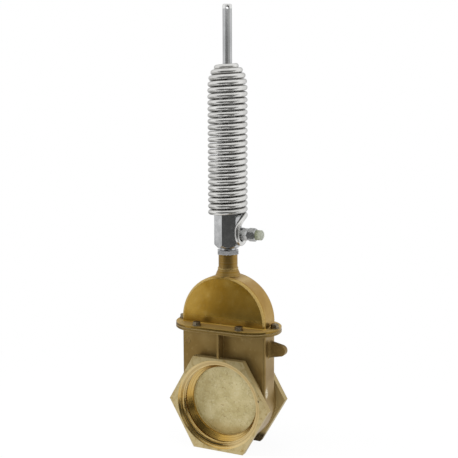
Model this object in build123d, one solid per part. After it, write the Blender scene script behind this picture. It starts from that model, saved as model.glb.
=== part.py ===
"""Hydraulic gate valve: brass body and bonnet, single-acting cylinder and outside return spring.

Millimetres. The origin is on the floor plane under the stem, +Z runs up the stem, Y runs along the
flow with the front port facing -Y, and the hydraulic inlet points along +X.
"""
import os
from math import atan, atan2, cos, pi, sin, sqrt

from build123d import *

# Clearances and cuts
cut_overrun = 2.0
thread_gap = 0.15
running_gap = 0.08
seat_gap = 0.3
gate_gap = 0.5
same_place = 0.001

# Waterway, gate and seats, from the bore outwards
bore_radius = 70.5
gate_lap = 6.5
gate_thickness = 14.0
gate_edge_bevel = 1.2
gate_side_room = 5.0
gate_thread_radius = 4.0
gate_thread_depth = 24.0
gate_nut_across_flats = 13.0
gate_nut_thickness = 8.0
seat_ring_lap = 8.5
seat_ring_thickness = 8.0

# Body casting round the gate
body_side_wall = 9.0
body_face_wall = 10.0
body_edge_radius = 6.0
foot_radius = 3.0
rib_thickness = 4.0
rib_setback = 1.2
lug_thickness = 12.0
lug_reach = 34.7
lug_tip_radius = 10.5
lug_root_height = 32.0
lug_root_radius = 5.0
lug_drop = 31.9

# Threaded hexagon port ends
hub_inset = 1.0
hub_sink = 1.0
hub_length = 9.5
hexagon_thickness = 13.7
hexagon_stand_out = 3.0
thread_step = 9.9
shoulder_offset = 2.5
undercut_depth = 2.0
undercut_length = 2.5
lead_in_length = 8.0
mouth_flare = 9.6
mouth_bevel_depth = 8.7

# Flanges
web_height = 50.9
body_flange_thickness = 5.2
bonnet_flange_thickness = 5.2
gasket_thickness = 1.0
flange_end_overhang = 20.0
flange_side_overhang = 31.5
flange_edge_bevel = 0.9
bolt_hole_radius = 5.5
bolt_pair_edge = 9.5
bolt_pair_inset = 8.0
bolt_end_edge = 10.0

# Bonnet casting
dome_rise = 8.2
dome_edge_radius = 5.0
dome_wall = 7.5
cone_sink = 1.5
cone_length = 13.0
cone_flare = 5.5
cone_top_step = 0.7
ring_step = 1.5
ring_thickness = 2.0
neck_wall = 3.8
neck_length = 27.0
neck_socket_depth = 20.0

# Rod, cylinder and base block
rod_radius = 9.0
rod_room = 0.5
rod_show = 115.4
rod_chamfer = 1.5
rod_eye_radius = 3.0
rod_eye_drop = 7.0
rod_eye_azimuth = 30.0
spigot_wall = 5.5
spigot_show = 5.0
lock_nut_across_flats = 41.0
lock_nut_thickness = 8.0
lock_nut_turn = -3.0
nut_chamfer = 1.6
base_wall = 3.5
base_height = 75.0
base_chamfer = 6.0
piston_width = 6.0
piston_thickness = 20.0
piston_lift = 12.0
tube_wall = 5.0
tube_socket_depth = 12.0
gland_overlap = 3.0
gland_thickness = 12.0
gland_plug_depth = 10.0
wiper_width = 4.0
wiper_thickness = 4.0
wiper_bevel = 1.0

# Return spring: one wire, close coils, tapered top, hooked bottom
wire_diameter = 10.3
coil_room = 1.36
coil_overlap = 11.6
coil_pitch = 11.76
straight_turns = 20.5
taper_turns = 4.6
taper_power = 2.6
top_coil_room = 2.05
top_coil_drop = 6.0
top_coil_power = 4.3
hook_radius = 18.5
hook_end_angle = 10.0
hook_leg = 5.4
tail_start_angle = 30.0
tail_chords = 5
chords_per_turn = 16
wire_sides = 6
seat_room = 9.0
seat_height = 23.5
seat_nut_wall = 4.5
seat_nut_thickness = 12.0

# Hydraulic inlet along +X
inlet_rise = 28.0
inlet_thread_radius = 6.6
inlet_thread_depth = 11.0
inlet_bore_radius = 3.0
washer_radius = 11.5
washer_thickness = 1.5
stud_across_flats = 22.0
stud_hexagon_length = 11.0
nipple_radius = 7.6
nipple_length = 25.5
coupling_across_flats = 23.0
coupling_length = 16.5
coupling_chamfer = 2.4
cap_radius = 10.0
cap_length = 13.0
cap_end_bevel = 2.5

# Handle length of a cubic curve that stands for a quarter circle
quarter_round_share = 0.5523

# Sizes of the gate housing, worked out from the bore outwards
gate_radius = bore_radius + gate_lap
seat_ring_radius = bore_radius + seat_ring_lap
chamber_half_width = gate_radius + gate_side_room
chamber_half_depth = gate_thickness / 2 + gate_gap + seat_ring_thickness
body_half_width = chamber_half_width + body_side_wall
body_half_depth = chamber_half_depth + body_face_wall
hub_radius = body_half_width - hub_inset
hexagon_back = body_half_depth + hub_length
port_face = hexagon_back + hexagon_thickness
hexagon_across_flats = 2 * (body_half_width + hexagon_stand_out)
thread_radius = bore_radius + thread_step
undercut_radius = thread_radius + undercut_depth
mouth_radius = thread_radius + mouth_flare
shoulder = body_half_depth + shoulder_offset
thread_end = shoulder + undercut_length
lead_in_end = shoulder - lead_in_length
flange_length = 2 * (body_half_width + flange_end_overhang)
flange_width = 2 * (body_half_depth + flange_side_overhang)
bolt_pair_x = (flange_length - flange_width) / 2 - bolt_pair_inset
bolt_pair_y = flange_width / 2 - bolt_pair_edge
bolt_end_x = flange_length / 2 - bolt_end_edge

# Sizes of the stem, cylinder and spring, worked out from the rod outwards
spigot_radius = rod_radius + rod_room + spigot_wall
neck_radius = spigot_radius + neck_wall
ring_radius = neck_radius + ring_step
cone_top_radius = neck_radius + cone_top_step
cone_base_radius = cone_top_radius + cone_flare
tube_bore_radius = rod_radius + piston_width
tube_radius = tube_bore_radius + tube_wall
base_across_flats = 2 * (tube_radius + base_wall)
gland_across_flats = 2 * (tube_radius + gland_overlap)
wire_radius = wire_diameter / 2
coil_radius = base_across_flats / sqrt(3) + coil_room + wire_radius
top_coil_radius = rod_radius + top_coil_room + wire_radius
coil_turns = straight_turns + taper_turns
chord_share = cos(pi / chords_per_turn)

# Heights above the floor, from the ports up
port_height = hexagon_across_flats / 2
gate_top = port_height + gate_radius
rod_shoulder = gate_top + gate_nut_thickness
body_flange_bottom = hexagon_across_flats + web_height
body_flange_top = body_flange_bottom + body_flange_thickness
bonnet_flange_bottom = body_flange_top + gasket_thickness
bonnet_flange_top = bonnet_flange_bottom + bonnet_flange_thickness
lug_height = body_flange_bottom - lug_drop
dome_centre = bonnet_flange_top + dome_rise
cone_base = dome_centre + body_half_width - cone_sink
cone_top = cone_base + cone_length
neck_base = cone_top + ring_thickness
neck_top = neck_base + neck_length
socket_foot = neck_top - neck_socket_depth
base_bottom = neck_top + lock_nut_thickness + spigot_show
base_top = base_bottom + base_height
inlet = base_bottom + inlet_rise
coil_low = base_top - coil_overlap
coil_high = coil_low + coil_pitch * coil_turns - top_coil_drop
seat_low = coil_high - seat_height
seat_nut_low = seat_low - seat_nut_thickness
gland_top = seat_nut_low - seat_room - wiper_thickness
tube_top = gland_top - gland_thickness
tube_bottom = base_top - tube_socket_depth
rod_top = coil_high + rod_show

# Places along the inlet, from the base block outwards
base_face_x = base_across_flats / 2
hook_x = base_face_x + wire_radius + seat_gap
hook_neck_radius = hook_radius * chord_share - wire_radius - seat_gap
neck_start = base_face_x + washer_thickness
neck_end = hook_x + wire_radius + seat_gap
stud_end = neck_end + stud_hexagon_length
coupling_end = stud_end + coupling_length
nipple_end = stud_end + nipple_length
cap_end = coupling_end + cap_length


def hexagon(across_flats, turn=0):
    """A hexagon outline with corners on its own X axis, turned by the given degrees."""
    return RegularPolygon(across_flats / 2, 6, major_radius=False, rotation=turn)


def hex_nut(across_flats, thickness, hole_radius, bevel=0, turn=0):
    """A nut on the XY plane, with its corners turned off at both faces where a bevel is given."""
    nut = extrude(hexagon(across_flats, turn), thickness)
    if bevel > 0:
        nut &= bevelled_bar(across_flats, thickness, bevel)
    hole = Pos(0, 0, thickness / 2) * Cylinder(hole_radius, thickness + 2 * cut_overrun)
    return nut - hole


def bevelled_bar(across_flats, height, bevel):
    """A round bar over a hexagon's corners, bevelled at both ends to turn those corners off."""
    corner_radius = across_flats / sqrt(3)
    end_radius = corner_radius - bevel
    outline = Polyline((0, 0), (end_radius, 0), (corner_radius, bevel), (corner_radius, height - bevel),
                       (end_radius, height), (0, height), close=True)
    return revolve(make_face(Plane.XZ * outline), Axis.Z)


def upright(radius, low, high):
    """A cylinder about the stem between two heights."""
    return Pos(0, 0, (low + high) / 2) * Cylinder(radius, high - low)


def upright_cone(low_radius, high_radius, low, high):
    """A cone about the stem between two heights."""
    return Pos(0, 0, (low + high) / 2) * Cone(low_radius, high_radius, high - low)


def flow_cylinder(radius, start, end):
    """A cylinder about the port axis between two places along Y."""
    middle = Pos(0, (start + end) / 2, port_height)
    return middle * Rot(90, 0, 0) * Cylinder(radius, abs(end - start))


def slab(half_width, half_depth, round_height, flat_height):
    """A flat space with one half-round end, its round centre and flat end at the given heights."""
    outline = Pos(0, round_height) * Circle(half_width)
    straight = Pos(0, (round_height + flat_height) / 2)
    outline += straight * Rectangle(2 * half_width, abs(flat_height - round_height))
    far_end = round_height + (half_width if round_height > flat_height else -half_width)
    whole = Pos(0, (flat_height + far_end) / 2)
    outline &= whole * Rectangle(2 * half_width, abs(flat_height - far_end))
    return extrude(Plane.XZ * outline, half_depth, both=True)


def quarter_round(start, corner, end):
    """A curve like a quarter circle from start to end, bending at the corner."""
    start, corner, end = Vector(*start), Vector(*corner), Vector(*end)
    near = start + (corner - start) * quarter_round_share
    far = end + (corner - end) * quarter_round_share
    return Bezier(start, near, far, end)


def half_section(half_width, half_depth, edge_radius):
    """The +X half of a casting's cross-section, with rounded corners."""
    flat_x = half_width - edge_radius
    flat_y = half_depth - edge_radius
    front = quarter_round((flat_x, -half_depth), (half_width, -half_depth), (half_width, -flat_y))
    back = quarter_round((half_width, flat_y), (half_width, half_depth), (flat_x, half_depth))
    middle = Polyline(back @ 1, (0, half_depth), (0, -half_depth), front @ 0)
    return make_face([front, Line(front @ 1, back @ 0), back] + middle.edges())


def casting(half_width, half_depth, round_height, flat_height, edge_radius):
    """A flat casting with rounded rims and one half-round end, like the space in slab()."""
    half = Pos(0, 0, round_height) * half_section(half_width, half_depth, edge_radius)
    turn_direction = -1 if round_height > flat_height else 1
    rounded = revolve(half, Axis((0, 0, round_height), (0, turn_direction, 0)), 180)
    straight = extrude(half + mirror(half, Plane.YZ), flat_height - round_height)
    return rounded + straight


def foot_fillet(solid, height):
    """Round the inner corner where a casting's wall meets its flange at the given height."""
    corner = []
    for edge in solid.edges():
        box = edge.bounding_box()
        level = max(abs(box.min.Z - height), abs(box.max.Z - height)) < same_place
        across = max(box.max.X, -box.min.X) < body_half_width + same_place
        deep = max(box.max.Y, -box.min.Y) < body_half_depth + same_place
        if level and across and deep:
            corner.append(edge)
    return fillet(corner, foot_radius)


def bolt_places():
    """Plan places of the six flange bolts."""
    corners = [(x, y) for x in (-bolt_pair_x, bolt_pair_x) for y in (-bolt_pair_y, bolt_pair_y)]
    return corners + [(-bolt_end_x, 0), (bolt_end_x, 0)]


def flange_plate(low, high):
    """A round-ended flange plate with bevelled edges."""
    plate = Pos(0, 0, low) * extrude(SlotOverall(flange_length, flange_width), high - low)
    return chamfer(plate.edges().filter_by(Plane.XY), flange_edge_bevel)


def bolt_holes(low, high):
    """The cuts for the flange bolts between two heights."""
    return [Pos(x, y) * upright(bolt_hole_radius, low - cut_overrun, high + cut_overrun)
            for x, y in bolt_places()]


def flow_cone(side, inner_radius, outer_radius, inner, outer):
    """A cone about the port axis on one side, between two distances from the middle of the gate."""
    cone = Rot(-90 * side, 0, 0) * Cone(inner_radius, outer_radius, outer - inner)
    return Pos(0, side * (inner + outer) / 2, port_height) * cone


def port_cut(side):
    """What is cut from one port end: bevelled mouth, thread wall, undercut, lead-in cone and bore."""
    bevel_end = port_face - mouth_bevel_depth
    cut = flow_cone(side, thread_radius, mouth_radius, bevel_end, port_face)
    cut += flow_cylinder(mouth_radius, side * port_face, side * (port_face + cut_overrun))
    cut += flow_cylinder(thread_radius, side * bevel_end, side * thread_end)
    cut += flow_cylinder(undercut_radius, side * thread_end, side * shoulder)
    cut += flow_cone(side, bore_radius, thread_radius, lead_in_end, shoulder)
    return cut + flow_cylinder(bore_radius, side * lead_in_end, 0)


def side_lug():
    """The cast lug on the inlet side of the body."""
    tip_x = body_half_width + lug_reach - lug_tip_radius
    tip = Pos(tip_x, lug_height) * Circle(lug_tip_radius)
    root_x = body_half_width - body_side_wall / 2
    root = Pos(root_x, lug_height) * Rectangle(body_side_wall, lug_root_height)
    outline = make_hull(tip.edges() + root.edges())
    return extrude(Plane.XZ * outline, lug_thickness / 2, both=True)


def lug_root(solid):
    """Edges where the lug meets the flat side of the casting."""
    edges = []
    for edge in solid.edges():
        box = edge.bounding_box()
        on_side = abs(box.min.X - body_half_width) + abs(box.max.X - body_half_width) < same_place
        within = max(box.max.Y, -box.min.Y) < lug_thickness / 2 + same_place
        if on_side and within:
            edges.append(edge)
    return edges


def hexagon_end(side):
    """One hexagon port end on its round hub, from inside the casting's face out to the port face."""
    outline = Plane.XZ * (Pos(0, port_height) * hexagon(hexagon_across_flats))
    prism = Pos(0, -hexagon_back, 0) * extrude(outline, hexagon_thickness)
    end = prism + flow_cylinder(hub_radius, hub_sink - body_half_depth, -hexagon_back)
    return end if side < 0 else mirror(end, Plane.XZ)


def web_rib():
    """The thin web that stands on both hexagon ends and carries the flange."""
    height = body_flange_top - port_height
    depth = 2 * (port_face - rib_setback)
    return Pos(0, 0, port_height + height / 2) * Box(rib_thickness, depth, height)


def valve_body():
    """Body casting: gate chamber, hexagon port ends, web, lug and lower flange."""
    body = casting(body_half_width, body_half_depth, port_height, body_flange_top, body_edge_radius)
    body += flange_plate(body_flange_bottom, body_flange_top)
    body = foot_fillet(body, body_flange_bottom)
    body += side_lug()
    body = fillet(lug_root(body), lug_root_radius)
    body += [hexagon_end(-1), hexagon_end(1), web_rib()]
    body -= slab(chamber_half_width, chamber_half_depth, port_height, body_flange_top + cut_overrun)
    body -= [port_cut(-1), port_cut(1)]
    return body - bolt_holes(body_flange_bottom, body_flange_top)


def seat_ring(side):
    """Sealing ring between the gate and the chamber wall."""
    inner = side * (gate_thickness / 2 + gate_gap)
    outer = side * chamber_half_depth
    ring = flow_cylinder(seat_ring_radius, inner, outer)
    return ring - flow_cylinder(bore_radius, inner - side * cut_overrun, outer + side * cut_overrun)


def flange_gasket():
    """Flat gasket between the flanges, open over the gate chamber."""
    gasket = Pos(0, 0, body_flange_top) * extrude(SlotOverall(flange_length, flange_width), gasket_thickness)
    opening = Box(2 * chamber_half_width, 2 * chamber_half_depth, gasket_thickness + 2 * cut_overrun)
    gasket -= Pos(0, 0, body_flange_top) * opening
    return gasket - bolt_holes(body_flange_top, bonnet_flange_bottom)


def bonnet():
    """Bonnet casting: domed gate housing, upper flange, cone and stem neck."""
    shell = casting(body_half_width, body_half_depth, dome_centre, bonnet_flange_bottom, dome_edge_radius)
    shell += flange_plate(bonnet_flange_bottom, bonnet_flange_top)
    shell = foot_fillet(shell, bonnet_flange_top)
    shell += upright(cone_base_radius, dome_centre, cone_base)
    shell += upright_cone(cone_base_radius, cone_top_radius, cone_base, cone_top)
    shell += upright(ring_radius, cone_top, neck_base)
    shell += upright(neck_radius, neck_base, neck_top)
    inside_foot = bonnet_flange_bottom - cut_overrun
    shell -= slab(body_half_width - dome_wall, chamber_half_depth, dome_centre, inside_foot)
    shell -= upright(rod_radius + running_gap, dome_centre, neck_top + cut_overrun)
    shell -= upright(spigot_radius + thread_gap, socket_foot, neck_top + cut_overrun)
    return shell - bolt_holes(bonnet_flange_bottom, bonnet_flange_top)


def lock_nut():
    """Jam nut that locks the cylinder on the stem neck."""
    hole = spigot_radius + thread_gap
    nut = hex_nut(lock_nut_across_flats, lock_nut_thickness, hole, nut_chamfer, lock_nut_turn)
    return Pos(0, 0, neck_top) * nut


def cylinder_base():
    """Hexagon block at the foot of the cylinder, with the inlet port and a threaded spigot."""
    height = base_top - base_bottom
    block = extrude(hexagon(base_across_flats, 30), height)
    block = Pos(0, 0, base_bottom) * (block & bevelled_bar(base_across_flats, height, base_chamfer))
    block += upright(spigot_radius, socket_foot, base_bottom)
    block -= upright(rod_radius + rod_room, socket_foot - cut_overrun, base_top)
    block -= upright(tube_radius + thread_gap, tube_bottom, base_top + cut_overrun)
    hole_foot = base_face_x - inlet_thread_depth
    block -= along_inlet(inlet_thread_radius + thread_gap, hole_foot, base_face_x + cut_overrun)
    return block - along_inlet(inlet_bore_radius, 0, base_face_x)


def cylinder_tube():
    """Cylinder barrel screwed into the base block."""
    tube = upright(tube_radius, tube_bottom, tube_top)
    return tube - upright(tube_bore_radius, tube_bottom - cut_overrun, tube_top + cut_overrun)


def gland_nut():
    """Hexagon gland that closes the top of the barrel and guides the rod."""
    hole = rod_radius + running_gap
    head = Pos(0, 0, tube_top) * hex_nut(gland_across_flats, gland_thickness, hole, nut_chamfer, 30)
    plug = upright(tube_bore_radius - thread_gap, tube_top - gland_plug_depth, tube_top)
    plug -= upright(hole, tube_top - gland_plug_depth - cut_overrun, tube_top + cut_overrun)
    return head + plug


def rod_wiper():
    """Scraper ring on the gland."""
    ring = upright(rod_radius + wiper_width, gland_top, gland_top + wiper_thickness)
    ring = chamfer(ring.edges().sort_by(Axis.Z)[-1], wiper_bevel)
    return ring - upright(rod_radius + seat_gap, gland_top - cut_overrun,
                          gland_top + wiper_thickness + cut_overrun)


def taper_progress(turn):
    """How far a turn is through the tapered top, from 0 on the straight coils to 1 at the end."""
    return max(0.0, turn - straight_turns) / taper_turns


def coil_radius_at(turn):
    """Coil radius after a number of turns from the bottom: straight, then closing in on the rod."""
    return coil_radius + (top_coil_radius - coil_radius) * taper_progress(turn) ** taper_power


def coil_height_at(turn):
    """Height of the wire after a number of turns: an even pitch, and the last coil nests in the one below."""
    return coil_low + coil_pitch * turn - top_coil_drop * taper_progress(turn) ** top_coil_power


def hook_points():
    """The hook under the inlet's neck, from its free end round to the foot of the tail."""
    count = round((180 + hook_end_angle) * chords_per_turn / 360)
    points = []
    for index in range(count):
        angle = (hook_end_angle - (180 + hook_end_angle) * index / count) * pi / 180
        points.append((hook_x, hook_radius * cos(angle), inlet + hook_radius * sin(angle)))
    return points


def tail_points():
    """The tail from the hook up to the first coil, a quarter ellipse rolled round the coils."""
    foot_angle = atan2(-hook_radius, hook_x)
    leg_radius = sqrt(hook_x ** 2 + hook_radius ** 2)
    start_angle = tail_start_angle * pi / 180
    start_height = coil_low + coil_pitch * tail_start_angle / 360
    tail_drop = start_height - inlet - hook_leg
    points = [(hook_x, -hook_radius, inlet)]
    for index in range(tail_chords):
        share = index / tail_chords
        rise = 1 - sin(share * pi / 2)
        angle = start_angle + (foot_angle - start_angle) * cos(share * pi / 2)
        radius = leg_radius + (coil_radius - leg_radius) * share
        points.append((radius * cos(angle), radius * sin(angle), start_height - tail_drop * rise))
    return points


def coil_points():
    """The coils, from the top of the tail to the last small one."""
    first = tail_start_angle / 360
    count = round((coil_turns - first) * chords_per_turn)
    points = []
    for index in range(count + 1):
        turn = first + (coil_turns - first) * index / count
        radius = coil_radius_at(turn)
        angle = 2 * pi * turn
        points.append((radius * cos(angle), radius * sin(angle), coil_height_at(turn)))
    return points


def return_spring():
    """Tension spring of one wire: hook, close coils and tapered top."""
    path = Polyline(*hook_points(), *tail_points(), *coil_points())
    section = Plane(origin=path @ 0, z_dir=path % 0) * RegularPolygon(wire_radius, wire_sides)
    return sweep(section, path=path, transition=Transition.RIGHT, clean=False)


def spring_seat():
    """Conical plug on the rod that the tapered coils pull down on."""
    low_coil = coil_radius_at(coil_turns - taper_turns / 2) * chord_share
    high_coil = top_coil_radius * chord_share
    slope = atan((low_coil - high_coil) / (coil_high - seat_low))
    offset = (wire_radius + seat_gap) / cos(slope)
    plug = upright_cone(low_coil - offset, high_coil - offset, seat_low, coil_high)
    return plug - upright(rod_radius + running_gap, seat_low - cut_overrun, coil_high + cut_overrun)


def seat_nut():
    """Nut on the rod under the conical plug."""
    across_flats = 2 * (rod_radius + seat_nut_wall)
    nut = hex_nut(across_flats, seat_nut_thickness, rod_radius + thread_gap)
    return Pos(0, 0, seat_nut_low) * nut


def gate_plate():
    """Round gate with a threaded hole in its upper edge."""
    disc = flow_cylinder(gate_radius, -gate_thickness / 2, gate_thickness / 2)
    disc = chamfer(disc.edges().filter_by(GeomType.CIRCLE), gate_edge_bevel)
    hole_foot = gate_top - gate_thread_depth
    return disc - upright(gate_thread_radius + thread_gap, hole_foot, gate_top + cut_overrun)


def gate_nut():
    """Jam nut between the gate and the rod's shoulder."""
    hole = gate_thread_radius + thread_gap
    return Pos(0, 0, gate_top) * hex_nut(gate_nut_across_flats, gate_nut_thickness, hole)


def piston_rod():
    """Stem and piston rod in one, with a cross hole at the top and a threaded foot."""
    rod = upright(rod_radius, rod_shoulder, rod_top)
    rod = chamfer(rod.edges().sort_by(Axis.Z)[-1], rod_chamfer)
    rod += upright(gate_thread_radius, gate_top - gate_thread_depth, rod_shoulder)
    eye = Cylinder(rod_eye_radius, 2 * rod_radius + 2 * cut_overrun)
    turned = Rot(0, 0, rod_eye_azimuth) * Rot(90, 0, 0)
    return rod - Pos(0, 0, rod_top - rod_eye_drop) * turned * eye


def piston():
    """Piston inside the barrel."""
    low = base_top + piston_lift
    disc = upright(tube_bore_radius - running_gap, low, low + piston_thickness)
    return disc - upright(rod_radius, low - cut_overrun, low + piston_thickness + cut_overrun)


def along_inlet(radius, start, end):
    """A cylinder about the inlet axis between two places along X."""
    return Pos((start + end) / 2, 0, inlet) * Rot(0, 90, 0) * Cylinder(radius, end - start)


def sealing_washer():
    """Bonded washer between the base block and the stud fitting."""
    ring = along_inlet(washer_radius, base_face_x, neck_start)
    return ring - along_inlet(inlet_thread_radius + thread_gap, base_face_x - cut_overrun,
                              neck_start + cut_overrun)


def stud_fitting():
    """Stud fitting: threaded tail, round neck for the spring's hook, hexagon and nipple."""
    hexagon_part = hex_nut(stud_across_flats, stud_hexagon_length, inlet_bore_radius, nut_chamfer, 30)
    fitting = Pos(neck_end, 0, inlet) * Rot(0, 90, 0) * hexagon_part
    tail_end = base_face_x - inlet_thread_depth
    fitting += along_inlet(inlet_thread_radius, tail_end, neck_start)
    fitting += along_inlet(hook_neck_radius, neck_start, neck_end)
    fitting += along_inlet(nipple_radius, stud_end, nipple_end)
    return fitting - along_inlet(inlet_bore_radius, tail_end - cut_overrun, nipple_end + cut_overrun)


def coupling_nut():
    """Hexagon nut on the nipple, with corners up and down."""
    nut = hex_nut(coupling_across_flats, coupling_length, nipple_radius + thread_gap, coupling_chamfer)
    return Pos(stud_end, 0, inlet) * Rot(0, 90, 0) * nut


def dust_cap():
    """Soft plastic cap over the nipple, with a bevelled end."""
    cap = along_inlet(cap_radius, coupling_end, cap_end)
    cap = chamfer(cap.edges().sort_by(Axis.X)[-1], cap_end_bevel)
    return cap - along_inlet(nipple_radius + seat_gap, coupling_end - cut_overrun, nipple_end + seat_gap)


def main():
    nodes = {
        "valve_body": valve_body(),
        "front_seat_ring": seat_ring(-1),
        "rear_seat_ring": seat_ring(1),
        "flange_gasket": flange_gasket(),
        "bonnet": bonnet(),
        "lock_nut": lock_nut(),
        "cylinder_base": cylinder_base(),
        "cylinder_tube": cylinder_tube(),
        "gland_nut": gland_nut(),
        "rod_wiper": rod_wiper(),
        "return_spring": return_spring(),
        "sealing_washer": sealing_washer(),
        "stud_fitting": stud_fitting(),
        "coupling_nut": coupling_nut(),
        "dust_cap": dust_cap(),
        "gate_plate": gate_plate(),
        "gate_nut": gate_nut(),
        "piston_rod": piston_rod(),
        "piston": piston(),
        "spring_seat": spring_seat(),
        "seat_nut": seat_nut(),
    }
    os.makedirs("parts", exist_ok=True)
    for name, shape in nodes.items():
        export_step(shape, f"parts/{name}.step")
        print(name, len(shape.solids()), "solid", round(shape.volume / 1000, 1), "cm3")


main()
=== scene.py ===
# %% [markdown]
# # Dressing a hydraulic gate valve
# The valve is a brass gate housing with two hexagon pipe ends, a domed bonnet, and a slim hydraulic
# cylinder that a long tension spring hides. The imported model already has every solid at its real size,
# so this lesson adds only what makes it look real: finishes, the round wire, threads, bolts and light.

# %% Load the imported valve
from math import atan2, cos, hypot, pi, radians, sin

import bmesh
import bpy
from mathutils import Matrix, Vector


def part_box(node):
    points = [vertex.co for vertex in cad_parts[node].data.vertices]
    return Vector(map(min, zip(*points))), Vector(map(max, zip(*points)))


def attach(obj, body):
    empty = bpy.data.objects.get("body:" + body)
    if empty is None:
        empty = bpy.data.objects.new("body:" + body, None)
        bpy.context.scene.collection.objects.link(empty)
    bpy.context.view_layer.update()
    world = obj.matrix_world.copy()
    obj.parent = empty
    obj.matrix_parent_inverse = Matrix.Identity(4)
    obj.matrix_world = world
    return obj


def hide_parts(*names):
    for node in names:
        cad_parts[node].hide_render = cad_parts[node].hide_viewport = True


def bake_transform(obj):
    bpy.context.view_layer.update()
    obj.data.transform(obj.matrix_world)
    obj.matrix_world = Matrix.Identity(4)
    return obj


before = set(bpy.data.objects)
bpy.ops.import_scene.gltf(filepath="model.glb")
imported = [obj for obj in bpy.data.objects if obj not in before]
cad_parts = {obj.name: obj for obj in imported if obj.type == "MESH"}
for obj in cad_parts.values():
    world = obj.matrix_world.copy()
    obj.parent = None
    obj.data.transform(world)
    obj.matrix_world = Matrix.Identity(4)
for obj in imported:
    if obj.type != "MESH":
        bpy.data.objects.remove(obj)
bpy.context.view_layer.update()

# %% [markdown]
# ## A socket that does sums
# A shader is a graph, and wiring it node by node is hard to read. A small class that wraps one socket can
# overload Python's operators, so that `1 - mask` or `grain * 0.2 + 0.5` adds the Math nodes by itself.
# Every other node comes from `make`, which takes its type, its settings and then its sockets.

# %% The socket wrapper
class Wire:
    """One socket of a shader tree, with sums that add Math nodes."""

    def __init__(self, tree, socket=None):
        self.tree = tree
        self.socket = socket

    def make(self, kind, settings=None, sockets=None, output=0):
        """Add any node: set its settings, then fill or link its sockets, and return one output."""
        node = self.tree.nodes.new("ShaderNode" + kind)
        for name, value in (settings or {}).items():
            setattr(node, name, value)
        for name, value in (sockets or {}).items():
            if isinstance(value, Wire):
                self.tree.links.new(value.socket, node.inputs[name])
            else:
                node.inputs[name].default_value = value
        return Wire(self.tree, node.outputs[output] if len(node.outputs) else None)

    def also(self, output):
        """Another output of the same node."""
        return Wire(self.tree, self.socket.node.outputs[output])

    def sum(self, operation, *values):
        return self.make("Math", {"operation": operation}, dict(enumerate(values)))

    def __add__(self, other):
        return self.sum("ADD", self, other)

    def __radd__(self, other):
        return self.sum("ADD", other, self)

    def __sub__(self, other):
        return self.sum("SUBTRACT", self, other)

    def __rsub__(self, other):
        return self.sum("SUBTRACT", other, self)

    def __mul__(self, other):
        return self.sum("MULTIPLY", self, other)

    def __rmul__(self, other):
        return self.sum("MULTIPLY", other, self)

    def __abs__(self):
        return self.sum("ABSOLUTE", self)

    def sine(self):
        return self.sum("SINE", self)

    def root(self):
        return self.sum("SQRT", self)

    def largest(self, other):
        return self.sum("MAXIMUM", self, other)

    def rise(self, low, high):
        """0 up to low and 1 from high on, with a smooth step between."""
        return self.make("MapRange", {"interpolation_type": "SMOOTHSTEP"},
                         {"Value": self, "From Min": low, "From Max": high})

    def tint(self, start, end):
        """The colour that goes from start to end as this value goes from 0 to 1."""
        return self.make("Mix", {"data_type": "RGBA"}, {0: self, 6: start, 7: end}, 2)


print("socket wrapper ready")

# %% [markdown]
# ## Places and masks
# Each finish asks where a point is, which way its surface faces, and whether it is past a limit. A painted
# map could answer, but it would have to be made for each node. Object coordinates are the frame's own
# metres, so a mask takes the lengths of the solid.

# %% Helpers for places
millimetre = 0.001
mask_blur = 0.4 * millimetre


def colour(red, green, blue):
    """A colour as a socket takes it, with full alpha."""
    return (red, green, blue, 1.0)


def new_finish(name):
    """An empty material, and a wire at its object coordinates, which are the frame's metres."""
    material = bpy.data.materials.new(name)
    material.use_nodes = True
    material.node_tree.nodes.clear()
    place = Wire(material.node_tree).make("TexCoord", output="Object")
    return material, place


def axes(place, names="XYZ"):
    """The coordinates of a place that are asked for."""
    parts = place.make("SeparateXYZ", sockets={0: place})
    return [parts.also(name) for name in names]


def facing(place, names="XYZ"):
    """The coordinates of the surface's normal that are asked for."""
    return axes(place.make("NewGeometry", output="Normal"), names)


def past(value, limit):
    """A mask that is 1 from a limit on, and 0 a little before it."""
    return value.rise(limit - mask_blur, limit)


def up_to(value, limit):
    """A mask that is 1 up to a limit, and 0 a little after it."""
    return value.rise(limit + mask_blur, limit)


print("masks blur over", mask_blur, "metres")

# %% [markdown]
# ## Noise, worn edges and relief
# Real metal is never even: it is blotchy, rubbed along its edges and finely rough. Each could be painted or
# sculpted, but would then fit one node only. Noise of a known size, the shader's own bevel and a bump work
# on any surface. Where the bevel's normal differs from the true one, there is an edge.

# %% Helpers for wear
bevel_samples = 4
edge_start = 0.008
edge_full = 0.12
mark_core = 0.45


def noise(place, size, detail=3.0, stretch=(1, 1, 1)):
    """Noise from 0 to 1 whose blotches are about `size` metres, stretched along the axes given."""
    if stretch != (1, 1, 1):
        share = tuple(1 / s for s in stretch)
        place = place.make("VectorMath", {"operation": "MULTIPLY"}, {0: place, 1: share})
    return place.make("TexNoise", sockets={"Vector": place, "Scale": 1 / size, "Detail": detail})


def worn_edge(place, radius):
    """A softened normal at sharp edges, and a mask that is 1 along them."""
    soft = place.make("Bevel", {"samples": bevel_samples}, {"Radius": radius})
    true_normal = place.make("NewGeometry", output="Normal")
    likeness = place.make("VectorMath", {"operation": "DOT_PRODUCT"}, {0: soft, 1: true_normal}, "Value")
    return soft, (1 - likeness).rise(edge_start, edge_full)


def near(place, centre, reach):
    """A mask that is 1 round a point and 0 beyond the reach along each axis."""
    offset = place.make("VectorMath", {"operation": "SUBTRACT"}, {0: place, 1: centre})
    share = tuple(1 / r for r in reach)
    scaled = place.make("VectorMath", {"operation": "MULTIPLY"}, {0: offset, 1: share})
    return place.make("VectorMath", {"operation": "LENGTH"}, {0: scaled}, "Value").rise(1.0, mark_core)


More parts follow.
